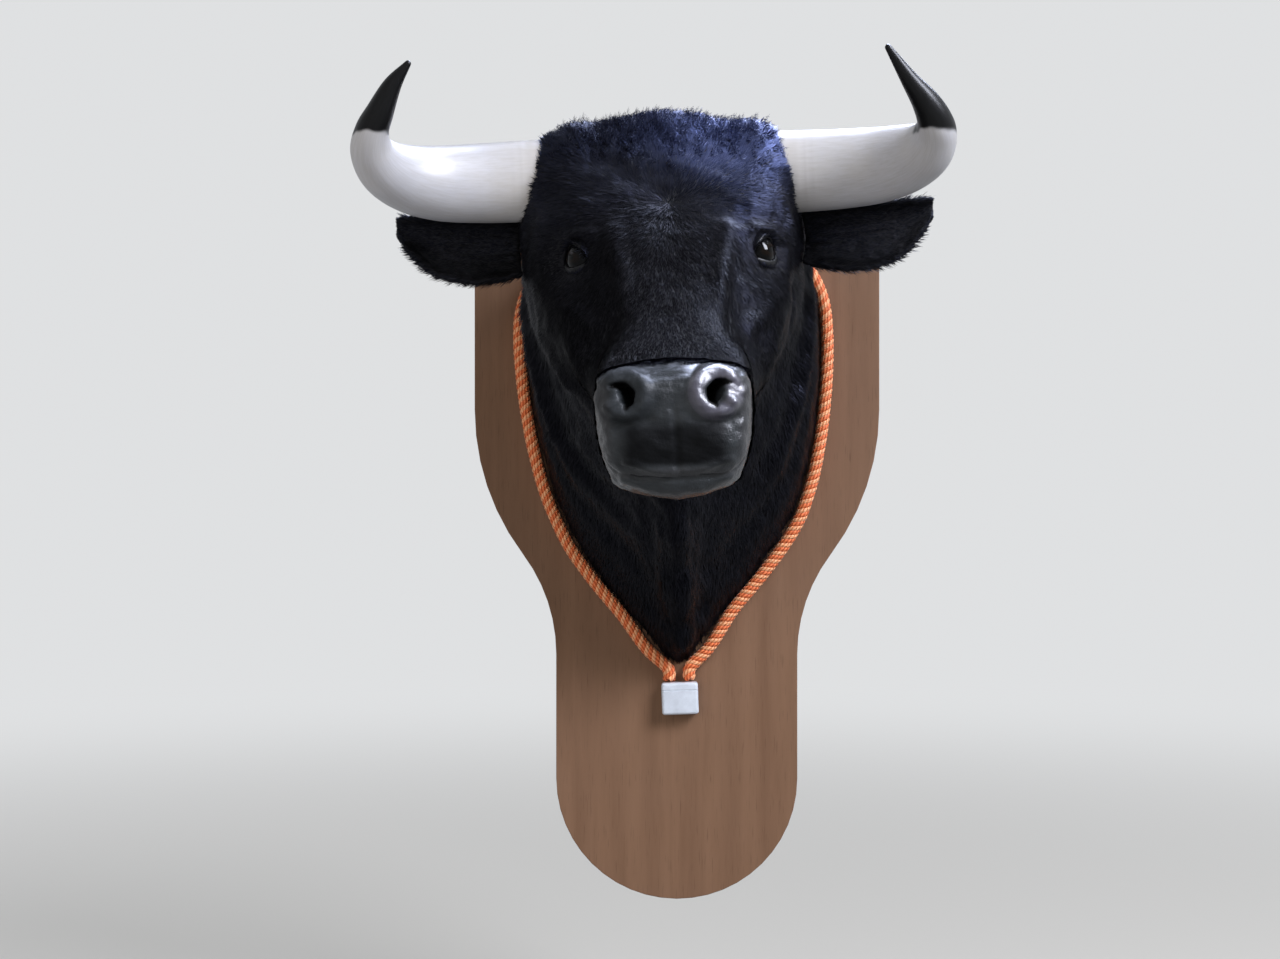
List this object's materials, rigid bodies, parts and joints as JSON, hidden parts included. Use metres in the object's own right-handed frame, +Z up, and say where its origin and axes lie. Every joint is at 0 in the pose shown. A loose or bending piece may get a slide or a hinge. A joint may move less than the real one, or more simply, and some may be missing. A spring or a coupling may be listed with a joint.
{
  "type": "mounted bull head",
  "caption": "Black bull's head with pale, dark-tipped horns on a shaped brown wall plaque, a twisted cord round the neck held by a white clasp.",
  "frame": {"origin": "on the plaque's back face, behind the middle of the neck", "axes": "+Z up, +Y out of the plaque's back towards the wall, so the head faces -Y; +X is the right-hand side of the picture"},
  "size_m": [0.5655, 0.4899, 0.8432],
  "materials": {
    "brown_board": "matte brown stain",
    "black_fur": "short black hair",
    "grey_muzzle": "glossy dark grey, pebbled",
    "black_glass": "polished, opaque black",
    "pale_horn": "polished ivory white with black tips",
    "orange_cord": "twisted, orange-red and gold",
    "white_clasp": "smooth bluish white",
    "steel": "zinc plated"
  },
  "bodies": {
    "root": {"plaque": "brown_board", "head": "black_fur", "muzzle": "grey_muzzle", "eye_left": "black_glass", "eye_right": "black_glass", "horn_left": "pale_horn", "horn_right": "pale_horn", "ear_left": "black_fur", "ear_right": "black_fur", "trim_cord": "orange_cord", "cord_clasp": "white_clasp", "hanger": "steel", "hanger_nail_left": "steel", "hanger_nail_right": "steel"}
  },
  "joints": []
}
